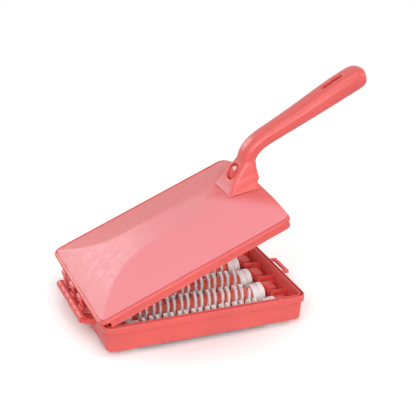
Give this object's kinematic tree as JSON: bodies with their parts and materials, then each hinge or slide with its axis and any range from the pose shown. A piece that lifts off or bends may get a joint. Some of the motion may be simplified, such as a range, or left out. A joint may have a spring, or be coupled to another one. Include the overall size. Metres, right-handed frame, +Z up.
{
  "type": "hand-held roller sweeper",
  "caption": "Hand-held crumb and carpet sweeper: brush rollers in an open-topped tray, and a crowned, hinged lid that carries the handle, standing open.",
  "frame": {"origin": "on the floor under the middle of the whole part, lid open", "axes": "+X from the hinge end to the handle end, +Y to the back, +Z up; the rollers run along X"},
  "size_m": [0.3022, 0.16, 0.2261],
  "materials": {
    "tray": "semi-gloss coral moulded plastic",
    "lid": "semi-gloss light coral moulded plastic",
    "handle": "semi-gloss coral moulded plastic",
    "button": "glossy red moulded plastic",
    "roller_core": "coral red moulded plastic",
    "bristles": "fine soft pinkish white bristles",
    "caps": "white moulded plastic"
  },
  "bodies": {
    "tray": {"tray": "tray", "bearing_frame_hinge_end": "tray", "bearing_frame_catch_end": "tray", "hinge_pin": "tray"},
    "lid": {"lid_shell": "lid", "handle": "handle"},
    "thumb_button": {"thumb_button": "button"},
    "roller_1": {"roller_1_core": "roller_core", "roller_1_bristles": "bristles", "roller_1_cap_hinge_end": "caps", "roller_1_cap_catch_end": "caps"},
    "roller_2": {"roller_2_core": "roller_core", "roller_2_bristles": "bristles", "roller_2_cap_hinge_end": "caps", "roller_2_cap_catch_end": "caps"},
    "roller_3": {"roller_3_core": "roller_core", "roller_3_bristles": "bristles", "roller_3_cap_hinge_end": "caps", "roller_3_cap_catch_end": "caps"},
    "roller_4": {"roller_4_core": "roller_core", "roller_4_bristles": "bristles", "roller_4_cap_hinge_end": "caps", "roller_4_cap_catch_end": "caps"},
    "roller_5": {"roller_5_core": "roller_core", "roller_5_bristles": "bristles", "roller_5_cap_hinge_end": "caps", "roller_5_cap_catch_end": "caps"}
  },
  "joints": [
    {"name": "lid_hinge", "type": "hinge", "parent": "tray", "child": "lid", "pos_m": [-0.14728, 0, 0.0215], "axis": [0, -1, 0], "range_deg": [-23, 82]},
    {"name": "button_press", "type": "slide", "parent": "lid", "child": "thumb_button", "axis": [0.866, 0, -0.5], "range_m": [0, 0.002]},
    {"name": "roller_1_spin", "type": "hinge", "parent": "tray", "child": "roller_1", "pos_m": [-0.03828, -0.0616, 0.0126], "axis": [1, 0, 0], "continuous": true},
    {"name": "roller_2_spin", "type": "hinge", "parent": "tray", "child": "roller_2", "pos_m": [-0.03828, -0.0308, 0.0126], "axis": [1, 0, 0], "continuous": true},
    {"name": "roller_3_spin", "type": "hinge", "parent": "tray", "child": "roller_3", "pos_m": [-0.03828, 0, 0.0126], "axis": [1, 0, 0], "continuous": true},
    {"name": "roller_4_spin", "type": "hinge", "parent": "tray", "child": "roller_4", "pos_m": [-0.03828, 0.0308, 0.0126], "axis": [1, 0, 0], "continuous": true},
    {"name": "roller_5_spin", "type": "hinge", "parent": "tray", "child": "roller_5", "pos_m": [-0.03828, 0.0616, 0.0126], "axis": [1, 0, 0], "continuous": true}
  ]
}
